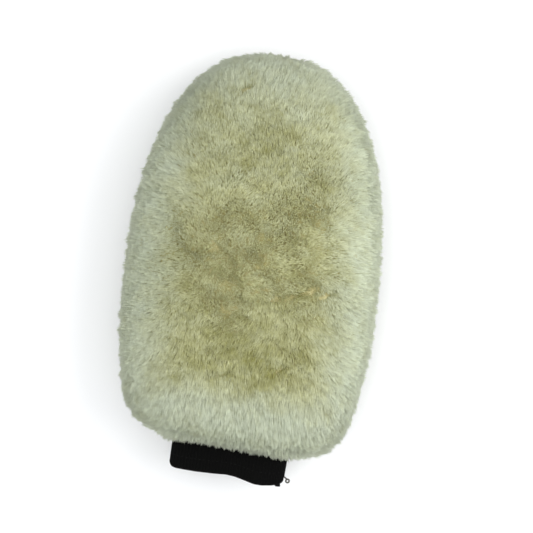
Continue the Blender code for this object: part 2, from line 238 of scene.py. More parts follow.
def pocket_section(y, grow=0.0):
    """Half-width and rise at y of the hand pocket's hide, grown by a layer's clearance."""
    tip = HIDE_TIP + grow
    base = WOOL_BASE + PILE
    half = half_width(y, HIDE_HALF, HIDE_TIP, base) + grow
    half_tip = half_width(y, HIDE_HALF + grow, tip, base)
    half = np.where(y > WIDEST_Y, half_tip, half)
    neck = smooth((MOUTH_Y + NECK - y) / NECK)
    rise = HIDE_RISE + grow - (HIDE_RISE - MOUTH_RISE) * neck
    crown = superellipse((y - tip + POCKET_CROWN) / POCKET_CROWN, TIP_FULLNESS)
    return half, rise * np.where(y > tip - POCKET_CROWN, crown, 1.0)


def pocket_grid(y, turn, grow):
    """Points round the pocket: a row for each y, a column for each turn, from its sections."""
    half, rise = pocket_section(y, grow)
    x, z = section(turn[None, :], half[:, None], rise[:, None], HIDE_SECTION)
    return np.stack([x, np.broadcast_to(y[:, None], x.shape), SEAM_Z + z], -1)


# ---------------------------------------------------------------- meshes
def make_mesh(name, points, *faces):
    """A mesh object from its points and arrays of faces, each a row of its points' numbers."""
    corners = np.concatenate([kind.ravel() for kind in faces])
    sizes = np.repeat([kind.shape[1] for kind in faces], [len(kind) for kind in faces])
    mesh = bpy.data.meshes.new(name)
    mesh.vertices.add(len(points))
    mesh.vertices.foreach_set("co", np.ascontiguousarray(points, np.float32).ravel())
    mesh.loops.add(len(corners))
    mesh.loops.foreach_set("vertex_index", np.ascontiguousarray(corners, np.int32))
    mesh.polygons.add(len(sizes))
    starts = np.concatenate([[0], np.cumsum(sizes)[:-1]]).astype(np.int32)
    mesh.polygons.foreach_set("loop_start", starts)
    mesh.update(calc_edges=True)
    mesh.validate()
    mesh.shade_smooth()
    thing = bpy.data.objects.new(name, mesh)
    bpy.context.collection.objects.link(thing)
    return thing


def grid_corners(rows, columns, wrap_rows=False, wrap_columns=False):
    """Corners of the quads of a grid of rows by columns points, row after row."""
    i = np.arange(rows if wrap_rows else rows - 1)[:, None]
    j = np.arange(columns if wrap_columns else columns - 1)[None, :]
    after, side = (i + 1) % rows, (j + 1) % columns
    quads = np.stack([i * columns + j, i * columns + side,
                      after * columns + side, after * columns + j], -1)
    return quads.reshape(-1, 4)


def outward(thing):
    """Turns every face outwards, for a closed mesh whose quads may wind either way."""
    mesh = thing.data
    points = np.empty(len(mesh.vertices) * 3)
    mesh.vertices.foreach_get("co", points)
    points = points.reshape(-1, 3)
    mesh.calc_loop_triangles()
    corners = np.empty(len(mesh.loop_triangles) * 3, np.int32)
    mesh.loop_triangles.foreach_get("vertices", corners)
    a, b, c = points[corners.reshape(-1, 3)].transpose(1, 0, 2)
    if (a * np.cross(b, c)).sum() < 0:
        mesh.flip_normals()
    return thing


def ring_solid(name, rings):
    """A band closed both ways: rings is (rows, columns, 3), joined in both directions."""
    quads = grid_corners(*rings.shape[:2], True, True)
    return outward(make_mesh(name, rings.reshape(-1, 3), quads))


PLY_DEPTH = 0.22                # how deep the grooves between a thread's plies are, by its radius


def tube(name, path, radius, sides=10, plies=0, lay=2.2 * MM, closed=False):
    """A thread along path: circles square to it, lobed by its plies, which turn once every lay.

    At distance s and angle a the radius is r (1 + PLY_DEPTH cos(plies (a - 2 pi s / lay))).
    """
    ahead = np.roll(path, -1, 0) - path
    if not closed:
        ahead[-1] = ahead[-2]
    before = np.roll(ahead, 1, 0)
    if not closed:
        before[0] = ahead[0]
    tangent = ahead + before
    tangent /= np.linalg.norm(tangent, axis=1)[:, None]
    walked = np.concatenate([[0], np.cumsum(np.linalg.norm(ahead, axis=1))[:-1]])
    up = np.array([0.03, 0.05, 1.0])
    side = np.cross(tangent, up)
    side /= np.linalg.norm(side, axis=1)[:, None]
    over = np.cross(side, tangent)
    angle = 2 * math.pi * np.arange(sides) / sides
    lobe = 1.0 + (PLY_DEPTH * np.cos(plies * (angle[None] - 2 * math.pi * walked[:, None] / lay))
                  if plies else 0.0 * angle[None])
    reach = radius * lobe * np.ones((len(path), 1))
    rings = (path[:, None] + reach[..., None] * (np.cos(angle)[None, :, None] * side[:, None]
                                                 + np.sin(angle)[None, :, None] * over[:, None]))
    if closed:
        return ring_solid(name, rings)
    points = np.concatenate([rings.reshape(-1, 3), path[:1], path[-1:]])
    quads = grid_corners(len(path), sides, False, True)
    j = np.arange(sides)
    last = (len(path) - 1) * sides
    first_cap = np.stack([np.full(sides, len(points) - 2), (j + 1) % sides, j], -1)
    last_cap = np.stack([np.full(sides, len(points) - 1), last + j, last + (j + 1) % sides], -1)
    return outward(make_mesh(name, points, quads, first_cap, last_cap))


def half_bag(name, inner, outer):
    """A layer of half the bag from (rows, columns, 3) grids, row 0 at the tip's pole.

    The two grids are joined along the seam at both sides, and at the mouth.
    """
    rows, columns, _ = inner.shape
    grid = np.concatenate([inner, outer[::-1]])
    total = 2 * rows
    quads = [grid_corners(total, columns)]
    for edge in (0, columns - 1):
        row = np.arange(rows - 1)
        near, far = row * columns + edge, (total - 1 - row) * columns + edge
        quads.append(np.stack([near, near + columns, far - columns, far], -1))
    thing = make_mesh(name, grid.reshape(-1, 3), *quads)
    shape = bmesh.new()
    shape.from_mesh(thing.data)
    bmesh.ops.remove_doubles(shape, verts=shape.verts, dist=0.004 * MM)
    bmesh.ops.recalc_face_normals(shape, faces=shape.faces)
    shape.to_mesh(thing.data)
    shape.free()
    thing.data.shade_smooth()
    return thing


# ---------------------------------------------------------------- materials
MOTTLE = 3.5 * MM               # from one fleck of a stain to the next
TUFT = 2.2 * MM                 # the same for the tufts of the matted wool
LOOP_WIDE = 1.1 * MM
LOOP_HIGH = 0.9 * MM
WAVE = 0.314                    # a wave texture's period at scale 1


def linear(code):
    """The linear colour of an sRGB hex code."""
    parts = np.array([int(code[k:k + 2], 16) for k in (1, 3, 5)]) / 255
    low, high = parts / 12.92, ((parts + 0.055) / 1.055) ** 2.4
    return (*np.where(parts <= 0.04045, low, high).tolist(), 1.0)


def node(tree, kind, settings=None, **links):
    """Adds a shader node, sets its properties, ramp stops and sockets, and links what is given.

    A link's name is its socket's, with _ for a space, or _ and the socket's number.
    """
    made = tree.nodes.new("ShaderNode" + kind)
    for key, value in (settings or {}).items():
        if key == "stops":
            band = made.color_ramp
            while len(band.elements) < len(value):
                band.elements.new(0.5)
            for element, (place, code) in zip(band.elements, value):
                element.position = place
                element.color = linear(code)
        elif isinstance(key, str) and hasattr(made, key):
            setattr(made, key, value)
        else:
            made.inputs[key].default_value = value
    for key, value in links.items():
        place = int(key[1:]) if key[0] == "_" and key[1:].isdigit() else key.replace("_", " ")
        tree.links.new(value, made.inputs[place])
    return made


def material(name, shader):
    """A new material with its Principled shader set from a dictionary; returns it and its tree."""
    made = bpy.data.materials.new(name)
    made.use_nodes = True
    tree = made.node_tree
    principled = tree.nodes["Principled BSDF"]
    for key, value in shader.items():
        principled.inputs[key].default_value = value
    return made, tree, principled


def dress(tree, shader, colour, height, strength, relief):
    """Gives a shader its colour, and a fine relief of the given depth from one height."""
    tree.links.new(colour, shader.inputs["Base Color"])
    bump = node(tree, "Bump", {"Strength": strength, "Distance": relief}, Height=height)
    tree.links.new(bump.outputs["Normal"], shader.inputs["Normal"])


def fleece():
    """Undyed sheep's wool, washed and brushed: matt crimped fibre with lanolin left at the root.

    The eye sees pale greenish cream at the tips, straw yellow below, darker gaps between locks,
    and soft stains 15 to 30 mm across where the fleece weathered, broken up at MOTTLE.
    """
    made, tree, shader = material("undyed_sheep_wool", {
        "Roughness": 0.88, "IOR": 1.5, "Specular IOR Level": 0.18,
        "Sheen Weight": 0.25, "Sheen Roughness": 0.55, "Sheen Tint": linear("#F2F3DE")})
    place = node(tree, "TexCoord").outputs["Object"]
    along, tone, pale, stain = (
        node(tree, "Attribute", {"attribute_name": name}).outputs["Fac"]
        for name in ("along", "tone", "pale", "stain"))
    length = node(tree, "ValToRGB", {"stops": [
        (0.0, "#AEAB78"), (0.35, "#C2C18D"), (0.75, "#CFD0A1"), (1.0, "#D4D6A8")]}, Fac=along)
    clean_and_lit = node(tree, "ValToRGB", {"stops": [
        (0.0, "#C2C7A6"), (0.4, "#D2D9BD"), (1.0, "#DBE3CB")]}, Fac=along)
    # Painted light in part: where pale, the colour goes to the paler ramp, for cleaner tips and for
    # the pile's lit edges.
    body = node(tree, "Mix", {"data_type": "RGBA"}, _0=pale, _6=length.outputs["Color"],
                _7=clean_and_lit.outputs["Color"])
    mottle = node(tree, "TexNoise", {"Scale": 1 / MOTTLE, "Detail": 2.0}, Vector=place)
    centred = node(tree, "Math", {"operation": "MULTIPLY_ADD", 1: 0.9, 2: -0.50},
                   _0=mottle.outputs["Fac"])
    # The stain attribute holds the real stains, and painted shade in the partings.
    broken = node(tree, "Math", {"operation": "MULTIPLY_ADD", 1: 0.9}, _0=stain,
                  _2=centred.outputs[0])
    soil_and_shade = node(tree, "Clamp", {"Max": 0.85}, Value=broken.outputs[0])
    stained_and_shaded = node(tree, "Mix", {"data_type": "RGBA", 7: linear("#908E4A")},
                   _0=soil_and_shade.outputs[0], _6=body.outputs[2])
    shade = node(tree, "MapRange", {1: 0.0, 2: 1.0, 3: 0.88, 4: 1.08}, _0=tone)
    value = node(tree, "HueSaturation", Color=stained_and_shaded.outputs[2], Value=shade.outputs[0])
    tree.links.new(value.outputs["Color"], shader.inputs["Base Color"])
    return made


def felted_wool():
    """The dense woolly mass below the tips: the same wool, matted, seen only in the gaps.

    It is straw-coloured under the middle, and washed pale towards the mouth.
    """
    made, tree, shader = material("matted_underwool", {
        "Roughness": 0.95, "Specular IOR Level": 0.1, "Sheen Weight": 0.2,
        "Sheen Roughness": 0.6, "Sheen Tint": linear("#E6E4C6")})
    place = node(tree, "TexCoord").outputs["Object"]
    tufts = node(tree, "TexNoise", {"Scale": 1 / TUFT, "Detail": 5.0, "Roughness": 0.7},
                 Vector=place).outputs["Fac"]
    straw, washed = (
        node(tree, "ValToRGB", {"stops": list(zip((0.25, 0.55, 0.8), codes))}, Fac=tufts)
        for codes in (("#A09562", "#C4BC8C", "#D8D4AE"), ("#A6A890", "#C6CAB4", "#D9DDCA")))
    parts = node(tree, "SeparateXYZ", Vector=place)
    mouth = node(tree, "MapRange", {1: -78 * MM, 2: -98 * MM}, _0=parts.outputs["Y"])
    colour = node(tree, "Mix", {"data_type": "RGBA"}, _0=mouth.outputs[0],
                  _6=straw.outputs["Color"], _7=washed.outputs["Color"])
    dress(tree, shader, colour.outputs[2], tufts, 0.8, 0.6 * MM)
    return made


def rib_knit():
    """Matt black one-by-one rib knit of cotton and elastane: its loops stand out in columns.

    The ribs themselves are in the mesh. Each loop is a V, from the cloth's own map in metres: with
    c = cos(2 pi u / LOOP_WIDE), it stands 0.5 + 0.5 sin(2 pi (v / LOOP_HIGH + 0.22 c)) - 0.25 c up.
    """
    made, tree, shader = material("black_rib_knit", {
        "Roughness": 0.9, "Specular IOR Level": 0.06, "Sheen Weight": 0.02,
        "Sheen Roughness": 0.5, "Sheen Tint": linear("#8C8C90")})
    around = node(tree, "UVMap", {"uv_map": "cloth"}).outputs["UV"]
    parts = node(tree, "SeparateXYZ", Vector=around)
    u = node(tree, "Math", {"operation": "MULTIPLY", 1: 2 * math.pi / LOOP_WIDE},
             _0=parts.outputs["X"])
    cosine = node(tree, "Math", {"operation": "COSINE"}, _0=u.outputs[0])
    slope = node(tree, "Math", {"operation": "MULTIPLY", 1: 0.22 * LOOP_HIGH}, _0=cosine.outputs[0])
    shifted = node(tree, "Math", {"operation": "ADD"}, _0=parts.outputs["Y"], _1=slope.outputs[0])
    v = node(tree, "Math", {"operation": "MULTIPLY", 1: 2 * math.pi / LOOP_HIGH},
             _0=shifted.outputs[0])
    wave = node(tree, "Math", {"operation": "SINE"}, _0=v.outputs[0])
    both = node(tree, "Math", {"operation": "MULTIPLY_ADD", 1: 0.5, 2: 0.5}, _0=wave.outputs[0])
    loop = node(tree, "Math", {"operation": "MULTIPLY_ADD", 1: -0.25},
                _0=cosine.outputs[0], _2=both.outputs[0]).outputs[0]
    # Painted shade: the knit is a little darker where its loops sink, and lighter where they stand
    # up.
    colour = node(tree, "ValToRGB", {"stops": [(0.1, "#050505"), (0.9, "#0E0E0D")]}, Fac=loop)
    dress(tree, shader, colour.outputs["Color"], loop, 0.9, 0.25 * MM)
    return made


def woven(name, wide, dark, light, relief, values):
    """Plain-woven cloth: over and under threads, each wide across, dark in the gaps between."""
    made, tree, shader = material(name, values)
    place = node(tree, "TexCoord").outputs["Object"]
    weave = [node(tree, "TexWave", {"bands_direction": axis, "Scale": WAVE / wide / 2,
                                    "Distortion": 0.4, "Detail": 1.0}, Vector=place)
             for axis in ("X", "Y")]
    both = node(tree, "Math", {"operation": "MULTIPLY"}, _0=weave[0].outputs["Fac"],
                _1=weave[1].outputs["Fac"]).outputs[0]
    # Painted shade: the cloth is darker where the weave sinks between its threads.
    colour = node(tree, "ValToRGB", {"stops": [(0.0, dark), (0.7, light)]}, Fac=both)
    dress(tree, shader, colour.outputs["Color"], both, 0.5, relief)
    return made


def suede():
    """The pelt's flesh side, tanned and buffed: short matt nap with cloudy tone 4 mm across."""
    made, tree, shader = material("tanned_sheep_hide", {
        "Roughness": 0.85, "Specular IOR Level": 0.2, "Sheen Weight": 0.2,
        "Sheen Tint": linear("#E0CDA6")})
    place = node(tree, "TexCoord").outputs["Object"]
    cloud = node(tree, "TexNoise", {"Scale": 1 / (4 * MM), "Detail": 6.0},
                 Vector=place).outputs["Fac"]
    colour = node(tree, "ValToRGB", {"stops": [(0.3, "#A78F68"), (0.7, "#C7B38D")]}, Fac=cloud)
    dress(tree, shader, colour.outputs["Color"], cloud, 0.4, 0.15 * MM)
    return made


def sewing_thread(name, dark, light):
    """Spun polyester thread: fine fibres give a slight mottle 0.3 mm long and a dull gleam."""
    made, tree, shader = material(name, {
        "Roughness": 0.7, "Specular IOR Level": 0.1, "Sheen Weight": 0.03})
    place = node(tree, "TexCoord").outputs["Object"]
    fibre = node(tree, "TexNoise", {"Scale": 1 / (0.3 * MM), "Detail": 2.0}, Vector=place)
    colour = node(tree, "ValToRGB", {"stops": [(0.3, dark), (0.7, light)]},
                  Fac=fibre.outputs["Fac"])
    tree.links.new(colour.outputs["Color"], shader.inputs["Base Color"])
    return made


def assign(thing, made_of, node_name=None, body=None):
    """Gives a piece its material and slot, and where stated the solid it replaces and its body."""
    thing.data.materials.append(made_of)
    if node_name:
        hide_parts(node_name)
    if body:
        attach(thing, body)


# ---------------------------------------------------------------- wool
def hashed(cells, salt):
    """A repeatable random number from 0 to 1 for each whole-number cell (i, j, k)."""
    mixed = np.sin(cells @ np.array([127.1, 311.7, 74.7]) + salt * 53.3) * 43758.5453
    return mixed - np.floor(mixed)


def nearest_lock(points, spacing, salt):
    """For each point its lock: the nearest of one scattered centre per cube of the given spacing.

    Returns the vector to that centre, and three random numbers that belong to the lock.
    """
    cell = np.floor(points / spacing)
    best = np.full(len(points), 1e9)
    pull = np.zeros_like(points)
    marks = np.zeros((len(points), 3))
    for step in np.ndindex(3, 3, 3):
        cube = cell + np.array(step) - 1
        scatter = np.stack([hashed(cube, salt + k) for k in range(3)], -1)
        to = (cube + scatter) * spacing - points
        far = (to ** 2).sum(1)
        closer = far < best
        best = np.where(closer, far, best)
        pull[closer] = to[closer]
        found = np.stack([hashed(cube, salt + 5 + k) for k in range(3)], -1)
        marks[closer] = found[closer]
    return pull, marks


def drift(points, scale, salt):
    """A smooth random vector for each point: five sine waves added, each near scale long."""
    rng = np.random.default_rng(salt)
    total = np.zeros_like(points)
    for _ in range(5):
        waves = rng.normal(size=(3, 3)) * 2 * math.pi / scale / 1.7
        total += np.sin(points @ waves + rng.uniform(0, 2 * math.pi, 3))
    return total / math.sqrt(5)


def scatter_tips(count, share_range, turn_range, seed):
    """Even random places over a patch of the wool's surface: (share, turn) pairs by area."""
    rng = np.random.default_rng(seed)
    rows, columns = 300, 420
    share = np.linspace(*share_range, rows + 1)
    turn = np.linspace(*turn_range, columns + 1)
    grid = wool_surface(*np.meshgrid(share, turn, indexing="ij"))
    a = grid[1:, :-1] - grid[:-1, :-1]
    b = grid[:-1, 1:] - grid[:-1, :-1]
    area = np.linalg.norm(np.cross(a, b), axis=-1).ravel()
    sums = np.cumsum(area) / area.sum()
    picks = (np.arange(count) + rng.random(count)) / count
    cell = np.minimum(np.searchsorted(sums, picks), rows * columns - 1)
    i, j = cell // columns, cell % columns
    return (share[i] + (share[i + 1] - share[i]) * rng.random(count),
            turn[j] + (turn[j + 1] - turn[j]) * rng.random(count), rng)


def surface_normal(share, turn):
    """Outward unit normals of the wool's surface, from small steps both ways."""
    step = 2e-4
    a = wool_surface(share + step, turn) - wool_surface(share - step, turn)
    b = wool_surface(share, turn + step) - wool_surface(share, turn - step)
    normal = np.cross(b, a)
    return normal / np.maximum(np.linalg.norm(normal, axis=-1, keepdims=True), 1e-12)


def strands(name, tips, roots, bend, normal, width, bands, marks, rng, start):
    """Closed tapered strands: each is a quadratic curve from its root to its tip, three-sided.

    The curve is (1-t)^2 root + 2t(1-t) bend + t^2 tip, drawn from t = start, where matted wool
    hides it. Its width falls as 1 - u^1.6, with u from 0 at its base to 1 at its tip. Its shading
    normals lean most of the way to the fleece's own, as light soaks from strand to strand in wool.
    """
    count = len(tips)
    t = start + (1 - start) * np.linspace(0, 1, bands + 1) ** 0.85
    curve = ((1 - t)[None, :, None] ** 2 * roots[:, None]
             + (2 * t * (1 - t))[None, :, None] * bend[:, None]
             + t[None, :, None] ** 2 * tips[:, None])
    axis = curve[:, -1] - curve[:, 0]
    axis /= np.maximum(np.linalg.norm(axis, axis=1, keepdims=True), 1e-9)
    side = np.cross(axis, rng.normal(size=(count, 3)))
    side /= np.maximum(np.linalg.norm(side, axis=1, keepdims=True), 1e-9)
    over = np.cross(axis, side)
    angle = 2 * math.pi * np.arange(3) / 3
    ring = (np.cos(angle)[None, :, None] * side[:, None]
            + np.sin(angle)[None, :, None] * over[:, None])
    fall = 1 - np.linspace(0, 1, bands + 1) ** 1.6
    thick = 0.5 * width[:, None, None, None] * fall[None, :bands, None, None]
    rings = curve[:, :bands, None] + thick * ring[:, None]
    points = np.concatenate([rings.reshape(count, 3 * bands, 3), curve[:, -1:]], 1)
    faces = [(0, 2, 1)]
    for band in range(bands - 1):
        for k in range(3):
            a, b = 3 * band + k, 3 * band + (k + 1) % 3
            faces += [(a, b, b + 3), (a, b + 3, a + 3)]
    last = 3 * (bands - 1)
    faces += [(last + k, last + (k + 1) % 3, 3 * bands) for k in range(3)]
    faces = np.array(faces)
    per = 3 * bands + 1
    corners = (np.arange(count)[:, None, None] * per + faces[None]).reshape(-1, 3)
    thing = make_mesh(name, askew(points.reshape(-1, 3)), corners)
    along = np.concatenate([np.repeat(np.linspace(0, 1, bands + 1)[:bands], 3), [1.0]])
    values = {"along": np.tile(along, count), "tone": np.repeat(marks[0], per),
              "pale": np.repeat(marks[1], per), "stain": np.repeat(marks[2], per)}
    for key, value in values.items():
        layer = thing.data.attributes.new(key, "FLOAT", "POINT")
        layer.data.foreach_set("value", value.astype(np.float32))
    bake_map(thing, tips, along, per, corners)
    own = np.concatenate([np.tile(ring, (1, bands, 1)), axis[:, None]], 1)
    shading = own * (1 - SOFTNESS) + normal[:, None] * SOFTNESS
    shading /= np.linalg.norm(shading, axis=-1, keepdims=True)
    thing.data.normals_split_custom_set_from_vertices(shading.reshape(-1, 3).astype(np.float32))
    return thing


MAP_CELLS = 64


def bake_map(thing, tips, along, per, corners):
    """The strands' own map: a grid of cells by place, each strand laid root to tip in its cell."""
    low, high = tips.min(0), tips.max(0)
    place = (tips[:, :2] - low[:2]) / (high[:2] - low[:2] + 1e-9) * (MAP_CELLS - 0.01)
    cell = np.floor(place)
    across = np.concatenate([np.tile([0.30, 0.50, 0.70], per // 3), [0.50]])
    u = (cell[:, :1] + across[None]) / MAP_CELLS
    v = (cell[:, 1:2] + 0.12 + 0.76 * along[None]) / MAP_CELLS
    uv = np.stack([u, v], -1).reshape(-1, 2)
    layer = thing.data.uv_layers.new(name="OFBake")
    layer.data.foreach_set("uv", uv[corners].astype(np.float32).ravel())


SPINE_LOW, SPINE_HIGH = WOOL_BASE + 62 * MM, WOOL_TIP - 82 * MM    # the rim's wool fans out from
RIM_REACH = 78 * MM             # a spine between these, at about this distance
STREAK, RIM_STREAK = 2.4 * MM, 3.6 * MM     # breadth of the streaks in the middle and at the rim
STREAK_LENGTH, RIM_LENGTH = 3.5, 6.0        # and how many times as long they are
PART_ASIDE = 1.1 * MM           # how far a parting brushes its wool aside
PART_DEPTH = 3.6 * MM
# Painted shade: DULL_Y and DULL_TIP place the darkened bands across the mouth end and over the tip.
DULL_Y, DULL_REACH = -96 * MM, 13 * MM      # a duller band across the mouth end
DULL_TIP, TIP_REACH = 98 * MM, 20 * MM      # and the same over the tip

# Stains in the middle of the front, from lanolin and handling: x, y and reach in mm, and strength.
# Where the strength is below 0 the wool is cleaner than round about.
STAINS = ((-16, 120, 8, 0.9), (-30, 102, 9, 0.7), (36, 63, 8, 0.8), (22, 20, 12, 0.4),
          (-24, 0, 12, 0.5), (0, 86, 22, 1.1), (-8, -58, 20, 0.9), (16, -60, 16, 0.9),
          (-34, -30, 12, 0.6), (38, -50, 9, 0.6), (-14, 66, 10, 0.4), (-40, -75, 9, 0.6),
          (8, -78, 12, 0.5), (-2, 104, 12, 0.4), (-46, 10, 22, -1.8), (-12, 30, 22, -0.9),
          (8, -2, 12, -0.5), (14, 66, 12, 0.7))

# Short partings in the front's right half: centre x and y, length and breadth, all in mm
PARTINGS = ((18, -19.5, 7.0, 1.7), (29, -16.5, 6.5, 1.6), (39, -12.5, 6.0, 1.7),
            (51, -13.5, 6.0, 1.4), (-27, 8, 4.0, 1.8), (-16, 118, 5.0, 1.8),
            (26, -66, 6.0, 1.6), (-12, -74, 6.0, 1.6))
PARTING_TURN = math.radians(31)


def partings(points):
    """How deep in a parting each point is, 0 to 1, and how far it is brushed aside there.

    Along (u) and across (v) each parting's length a and breadth b, the depth is
    exp(-(u/a)^2 - (v/b)^2), and the wool goes aside by PART_ASIDE times v/b times that depth.
    """
    gap, aside = np.zeros(len(points)), np.zeros_like(points)
    cosine, sine = math.cos(PARTING_TURN), math.sin(PARTING_TURN)
    for x, y, length, breadth in PARTINGS:
        away = points[:, :2] - np.array([x, y]) * MM
        u = (away @ np.array([cosine, sine])) / (length * MM)
        v = (away @ np.array([-sine, cosine])) / (breadth * MM)
        deep = np.exp(-u ** 2 - v ** 2) * (points[:, 2] > SEAM_Z)
        gap += deep
        aside[:, :2] += (PART_ASIDE * v * deep)[:, None] * np.array([-sine, cosine])
    return gap, aside


def fleece_grain(points, rim):
    """Streaks in the fleece, about -1.5 to 1.5: along the mitt in the middle, outwards at the rim.

    Both are wandering fields. In the middle it reads (x, y / STREAK_LENGTH); at the rim it reads
    the way round the edge, and the way out from a spine along the mitt's middle / RIM_LENGTH.
    """
    x, y, z = points.T
    spine = np.clip(y, SPINE_LOW, SPINE_HIGH)
    angle = np.arctan2(y - spine, np.abs(x) + MM)
    out = np.hypot(x, y - spine)
    round_edge = np.sign(x) * (spine + RIM_REACH * angle) + 0.5 * np.sign(x)
    middle = drift(np.stack([x, y / STREAK_LENGTH, 0 * z], -1), STREAK, 21)[:, 0]
    edge = drift(np.stack([round_edge, out / RIM_LENGTH, 0.6 * (z - SEAM_Z)], -1), RIM_STREAK,
                 22)[:, 0]
    return middle * (1 - rim) + edge * rim


def fleece_tones(points, width, rng):
    """How washed-out (pale) and how stained each strand is, from 0 to 1, by its place.

    Pale is partly washed-out wool and partly painted light: the wool is painted lighter round the
    sides and the ends, where the pile shows its length, than in the middle, where one looks down
    into its shade. It grows to 1 at the sides from 0.38 of the half-width, and from y = -66 mm
    down. It grows slowly from y = 15 mm up, and faster from 85 mm. Stain is a base that rises
    towards the mouth end, plus bell-shaped spots and a wandering part, weaker below the seam and
    where it is pale.
    """
    x, y = points[:, 0], points[:, 1]
    # Painted light in part: the sides and the ends are made paler, for the lit pile seen side-on as
    # well as for the cleaner tips.
    side = smooth((np.abs(x) / np.maximum(width, MM) - 0.38) / 0.58)
    low = smooth((-66 * MM - y) / (36 * MM))
    high = 0.30 * smooth((y - 15 * MM) / (75 * MM)) + 0.60 * smooth((y - 85 * MM) / (55 * MM))
    pale = np.maximum(np.maximum(side, low), high)
    pale = pale + 0.10 * drift(points, 14 * MM, 16)[:, 0] + 0.07 * rng.normal(size=len(points))
    stain = 0.17 + 0.08 * smooth((60 * MM - y) / (140 * MM))
    stain += 0.16 * drift(points, 15 * MM, 17)[:, 0]
    for across, along, reach, strength in STAINS:
        away = ((x - across * MM) ** 2 + (y - along * MM) ** 2) / (reach * MM) ** 2
        stain = stain + 0.42 * strength * np.exp(-away)
    upper = smooth((points[:, 2] - SEAM_Z) / (10 * MM))
    stain = stain * (0.45 + 0.55 * upper) + 0.08 * rng.normal(size=len(points))
    return np.clip(pale, 0, 1), np.clip(stain * (1 - 0.8 * np.clip(pale, 0, 1)), 0, 1)


def wool_strands(name, pieces, count, share_range, turn_range, seed, width, bands, start):
    """A patch of the fleece: strands gathered into locks, leaning with the nap, paler at the edge.

    A tip starts on the outer surface. It moves part of the way to its lock's centre, leans with a
    smooth nap plus its lock's own lean, and is a little shorter than the surface. Tone, 0 to 1, is
    the lock's own plus the streak's, darker in a parting, where it is painted shade. The wool over
    the cuff is a piece of its own.
    """
    share, turn, rng = scatter_tips(count, share_range, turn_range, seed)
    skin = wool_surface(share, turn)
    normal = surface_normal(share, turn)
    roots = wool_roots(skin, share, turn)
    pull, marks = nearest_lock(skin, LOCK, seed)
    pull -= normal * (pull * normal).sum(1, keepdims=True)
    pale, stain = fleece_tones(skin, wool_profile(share)[1], rng)
    rim = np.maximum(smooth((np.abs(skin[:, 0]) / WOOL_HALF - 0.5) / 0.4), pale)
    grain = fleece_grain(skin, rim)
    gap, aside = partings(skin)
    lean = drift(skin, 9 * MM, 12) * 0.9 * MM
    lean += (marks - 0.5) * LOCK_LEAN + rng.normal(size=skin.shape) * STRAND_LEAN
    lean -= normal * (lean * normal).sum(1, keepdims=True)
    short = (np.abs(rng.normal(size=count)) + marks[:, 1] * (1 - 0.7 * rim)) * SHORTER
    out = drift(skin, 15 * MM, 14)[:, 0] * 0.8 * MM
    out += drift(skin, 5 * MM, 15)[:, 0] * (0.3 + 0.5 * rim) * MM
    out += RIDGE * grain - short - PART_DEPTH * gap
    clump = 0.22 - 0.04 * rim
    tips = skin + pull * clump[:, None] + lean * (1 - 0.5 * rim)[:, None]
    tips += normal * out[:, None] + aside
    tips[:, 2] = np.maximum(tips[:, 2], 0.3 * MM)
    bend = strand_bend(roots, tips, normal)
    thick = width * rng.uniform(0.65, 1.25, count)
    tone = 0.5 + 0.24 * (marks[:, 0] - 0.5) + (0.22 + 0.14 * rim) * grain
    # Painted shade: the tone is darkened in a band across the mouth end and over the tip.
    tone -= 0.35 * np.exp(-((skin[:, 1] - DULL_Y) / DULL_REACH) ** 2)
    tone -= 0.30 * smooth((skin[:, 1] - DULL_TIP) / TIP_REACH)
    # Painted shade: in a parting the tone is darkened and the stain raised, for the shade between
    # the parted wool.
    tone = np.clip(tone + 0.08 * rng.normal(size=count) - 1.1 * gap, 0, 1)
    stain = np.clip(stain + 0.6 * gap, 0, 1)
    near_cuff = ((np.abs(skin[:, 2] - SEAM_Z) < FRINGE_RISE) & (np.abs(skin[:, 0]) < FRINGE_HALF)
                 & (skin[:, 1] < WOOL_BASE + FRINGE_DEEP))
    free = np.flatnonzero(~near_cuff)
    parts = [(f"{name}_{k + 1}", part, "mitt") for k, part in
             enumerate(np.array_split(free, pieces))]
    if near_cuff.any():
        parts.append((name + "_over_cuff", np.flatnonzero(near_cuff), None))
    for label, part, body in parts:
        thing = strands(label, tips[part], roots[part], bend[part], normal[part], thick[part],
                        bands, (tone[part], pale[part], stain[part]), rng,
                        start if body else 0.2)
        assign(thing, WOOL, body=body)
        if not body:
            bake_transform(thing)


def under_wool(name, node_name, low_turn):
    """The matted mass half the mitt's wool grows through: a thick half shell round the hide.

    Inside it lies on the hide. Outside it is the strands' curve at t = DEPTH, with hillocks 7 mm
    apart, and at the mouth it closes in a straight cone to the mouth's ring, so that the cuff has
    room to fold.
    """
    rows, lip_rows, columns = 84, 8, 110
    start, end = HIDE_TIP + 0.4 * MM, MOUTH_Y + 0.3 * MM
    share = np.linspace(0.0, BODY_SHARE, rows)
    turn = low_turn + np.linspace(0.0, math.pi, columns)
    share, turn = np.meshgrid(share, turn, indexing="ij")
    skin = wool_surface(share, turn)
    root = wool_roots(skin, share, turn)
    bend = strand_bend(root, skin, surface_normal(share, turn))
    outer = (1 - DEPTH) ** 2 * root + 2 * DEPTH * (1 - DEPTH) * bend + DEPTH ** 2 * skin
    outer += drift(outer, HILLOCK, 31) * 0.7 * MM
    outer[..., 2] = np.maximum(outer[..., 2], 1.2 * MM)
    mouth_x, mouth_z = section(turn[0], MOUTH_HALF + 0.5 * MM, MOUTH_RISE + 0.6 * MM, HIDE_SECTION)
    ring = np.stack([mouth_x, np.full(columns, end), SEAM_Z + mouth_z], -1)
    step = np.linspace(0, 1, lip_rows + 1)[1:, None, None]
    outer = np.concatenate([outer, outer[-1:] + (ring[None] - outer[-1:]) * step])
    y = start + (end - start) * (0.5 - 0.5 * np.cos(math.pi * np.linspace(0, 1, rows + lip_rows)))
    inner = pocket_grid(y, turn[0], 0.35 * MM)
    thing = half_bag(name, askew(inner), askew(outer))
    assign(thing, UNDERWOOL, node_name, "mitt")


